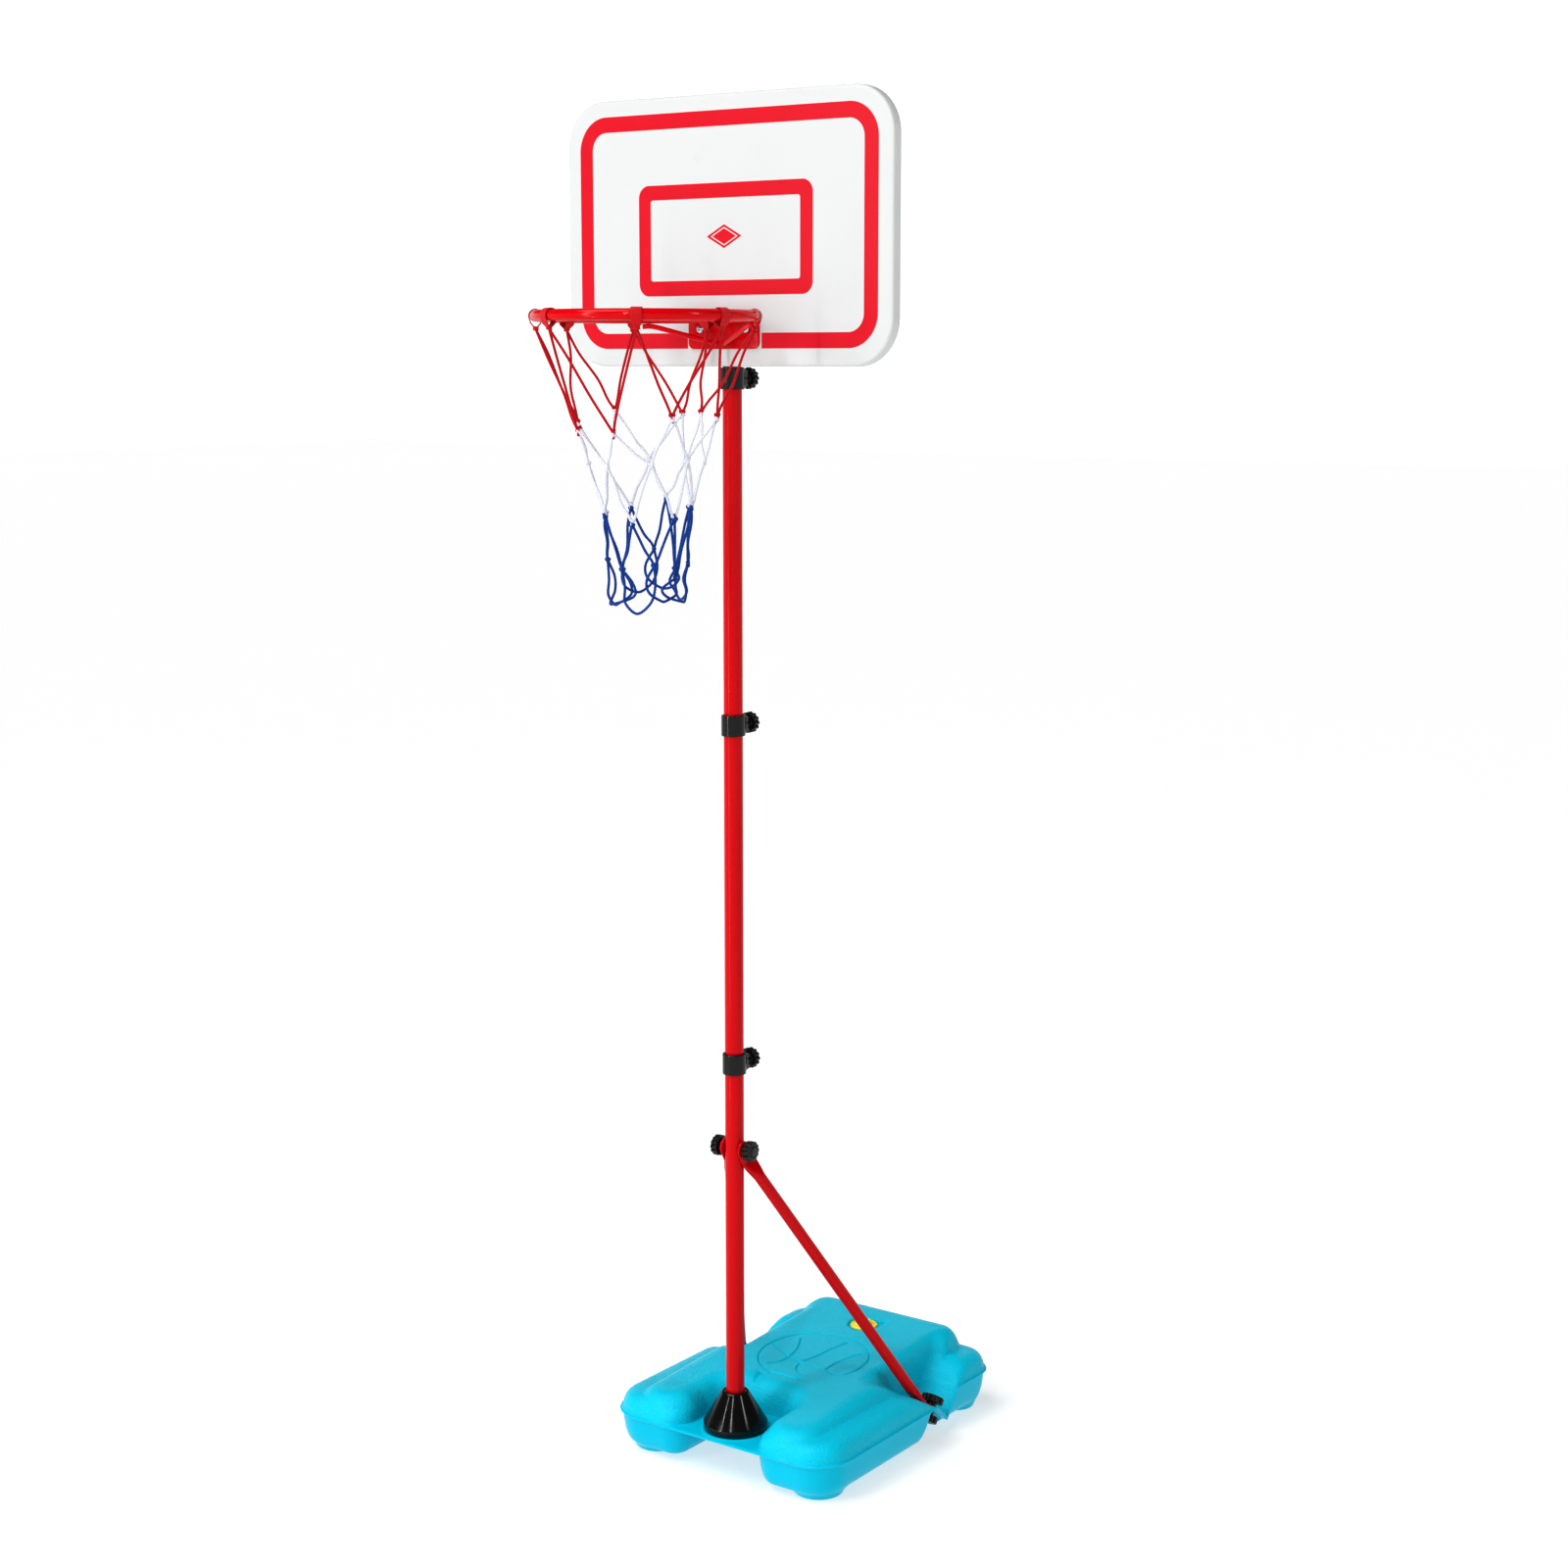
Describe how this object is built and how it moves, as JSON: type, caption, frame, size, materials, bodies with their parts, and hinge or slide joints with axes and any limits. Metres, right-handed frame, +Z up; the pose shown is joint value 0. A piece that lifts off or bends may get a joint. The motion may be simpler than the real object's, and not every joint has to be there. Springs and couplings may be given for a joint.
{
  "type": "portable basketball hoop",
  "caption": "Child-size portable basketball hoop: fillable plastic base, sectional steel pole with clamp collars and rear struts, moulded backboard, steel ring and corded net.",
  "frame": {"origin": "on the floor, at the middle of the bounding box", "axes": "+Z up; the hoop faces -Y, so the ring is at -Y of the pole and the tank runs back to +Y; +X is the right-hand side seen from the front"},
  "size_m": [0.447, 0.6324, 1.5985],
  "materials": {
    "tank_plastic": "pebble-grained blow-moulded plastic, satin",
    "cap_plastic": "satin moulded plastic",
    "gloss_black_plastic": "glossy moulded plastic",
    "black_plastic": "satin moulded plastic",
    "red_paint": "glossy powder coat on steel",
    "chrome": "bright zinc plate",
    "board_plastic": "white moulded plastic with printed red lines",
    "red_cord": "braided cord and webbing",
    "white_cord": "braided cord",
    "blue_cord": "braided cord"
  },
  "bodies": {
    "base": {"base_tank": "tank_plastic", "foot_cone": "gloss_black_plastic", "pole_end_plug": "black_plastic", "foot_bolt": "chrome", "foot_washer": "chrome", "pole_lower": "red_paint", "collar_low": "black_plastic", "strut_left": "red_paint", "strut_right": "red_paint", "strut_bolt": "chrome", "shelf_bolt_left": "black_plastic", "shelf_bolt_right": "black_plastic"},
    "filler_cap": {"filler_cap": "cap_plastic"},
    "low_knob": {"collar_low_knob": "black_plastic"},
    "lower_mast": {"pole_mid_lower": "red_paint", "collar_mid": "black_plastic"},
    "mid_knob": {"collar_mid_knob": "black_plastic"},
    "upper_mast": {"pole_mid_upper": "red_paint", "collar_top": "black_plastic"},
    "top_knob": {"collar_top_knob": "black_plastic"},
    "board": {"pole_top": "red_paint", "pole_top_cap": "black_plastic", "backboard": "board_plastic", "rim_plate": "red_paint", "rim_ring": "red_paint", "rim_brace_left": "red_paint", "rim_brace_right": "red_paint", "rim_screw_left": "chrome", "rim_screw_right": "chrome", "rim_nut_left": "chrome", "rim_nut_right": "chrome", "pole_saddle": "chrome", "net_loop_1": "red_cord", "net_loop_2": "red_cord", "net_loop_3": "red_cord", "net_loop_4": "red_cord", "net_loop_5": "red_cord", "net_loop_6": "red_cord", "net_loop_7": "red_cord", "net_loop_8": "red_cord", "net_red": "red_cord", "net_white": "white_cord", "net_blue": "blue_cord"},
    "strut_knob_left": {"strut_knob_left": "black_plastic"},
    "strut_knob_right": {"strut_knob_right": "black_plastic"},
    "shelf_knob_left": {"shelf_knob_left": "black_plastic"},
    "shelf_knob_right": {"shelf_knob_right": "black_plastic"}
  },
  "joints": [
    {"name": "filler_cap_pull", "type": "slide", "parent": "base", "child": "filler_cap", "axis": [0, 0, 1], "range_m": [0, 0.03]},
    {"name": "low_screw", "type": "hinge", "parent": "base", "child": "low_knob", "pos_m": [0, -0.01, 0.4985], "axis": [0, 1, 0], "range_deg": [0, 540]},
    {"name": "lower_height", "type": "slide", "parent": "base", "child": "lower_mast", "axis": [0, 0, 1], "range_m": [0, 0.06]},
    {"name": "mid_screw", "type": "hinge", "parent": "lower_mast", "child": "mid_knob", "pos_m": [0, -0.01, 0.897], "axis": [0, 1, 0], "range_deg": [0, 540]},
    {"name": "upper_height", "type": "slide", "parent": "lower_mast", "child": "upper_mast", "axis": [0, 0, 1], "range_m": [0, 0.06]},
    {"name": "top_screw", "type": "hinge", "parent": "upper_mast", "child": "top_knob", "pos_m": [0, -0.01, 1.289], "axis": [0, 1, 0], "range_deg": [0, 540]},
    {"name": "board_swivel", "type": "hinge", "parent": "upper_mast", "child": "board", "pos_m": [0, -0.03785, 1.297], "axis": [0, 0, 1], "continuous": true},
    {"name": "strut_nut_left", "type": "hinge", "parent": "base", "child": "strut_knob_left", "pos_m": [-0.02, -0.03785, 0.3957], "axis": [-1, 0, 0], "range_deg": [0, 720]},
    {"name": "strut_nut_right", "type": "hinge", "parent": "base", "child": "strut_knob_right", "pos_m": [0.02, -0.03785, 0.3957], "axis": [1, 0, 0], "range_deg": [0, 720]},
    {"name": "shelf_nut_left", "type": "hinge", "parent": "base", "child": "shelf_knob_left", "pos_m": [-0.142, 0.17115, 0.03666], "axis": [0, 0.5663, 0.8242], "range_deg": [0, 720]},
    {"name": "shelf_nut_right", "type": "hinge", "parent": "base", "child": "shelf_knob_right", "pos_m": [0.142, 0.17115, 0.03666], "axis": [0, 0.5663, 0.8242], "range_deg": [0, 720]}
  ]
}
